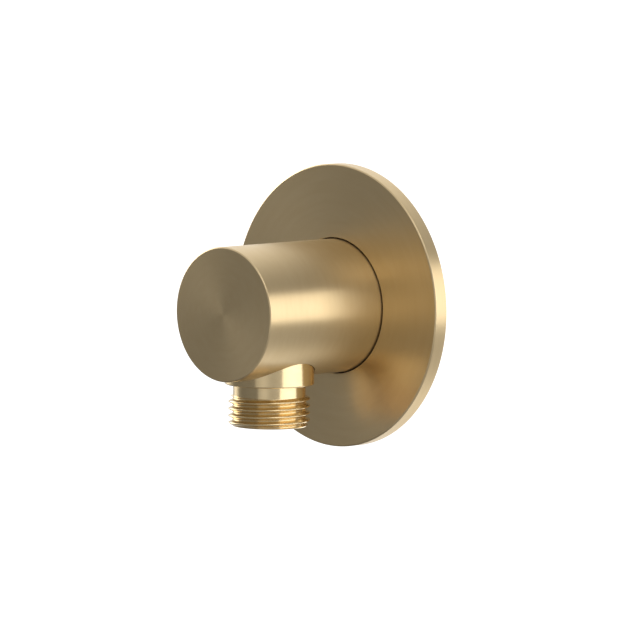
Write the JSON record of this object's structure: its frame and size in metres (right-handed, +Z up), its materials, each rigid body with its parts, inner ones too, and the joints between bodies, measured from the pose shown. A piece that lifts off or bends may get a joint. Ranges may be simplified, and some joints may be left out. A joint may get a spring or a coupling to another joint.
{
  "type": "shower hose wall outlet elbow",
  "caption": "Round wall outlet elbow in satin brass: a turned body on a flat round flange, with a threaded hose outlet pointing down and a check valve inside.",
  "frame": {"origin": "centre of the flange's back face, on the wall plane, where the wall nipple's axis meets it", "axes": "+Z up, +Y into the wall along the wall nipple, -Y out of the wall along the body, outlet pointing down along -Z"},
  "size_m": [0.073, 0.058, 0.073],
  "materials": {
    "satin_brass": "fine circular brushing with a clear satin coat",
    "turned_brass": "fine turned, brighter than the satin surfaces",
    "ring_rubber": "smooth black rubber, lightly greased",
    "gasket_rubber": "matt closed-cell foam rubber",
    "valve_plastic": "moulded acetal, off-white, satin",
    "spring_steel": "drawn stainless wire",
    "screw_steel": "turned stainless steel"
  },
  "bodies": {
    "fitting": {"wall_flange": "satin_brass", "flange_o_ring": "ring_rubber", "wall_gasket": "gasket_rubber", "elbow_body": "satin_brass", "wall_nipple": "turned_brass", "nipple_o_ring_front": "ring_rubber", "nipple_o_ring_rear": "ring_rubber", "grub_screw": "screw_steel", "outlet_nipple": "turned_brass", "outlet_o_ring": "ring_rubber", "valve_housing": "valve_plastic", "valve_upper_ring": "valve_plastic", "valve_o_ring": "ring_rubber", "valve_spring": "spring_steel"},
    "poppet": {"valve_poppet": "valve_plastic", "poppet_seal": "ring_rubber"}
  },
  "joints": [
    {"name": "poppet_lift", "type": "slide", "parent": "fitting", "child": "poppet", "axis": [0, 0, -1], "range_m": [0, 0.0025], "stiffness_N_per_m": 80, "springref_m": -0.0025, "deforming": ["valve_spring"]}
  ]
}
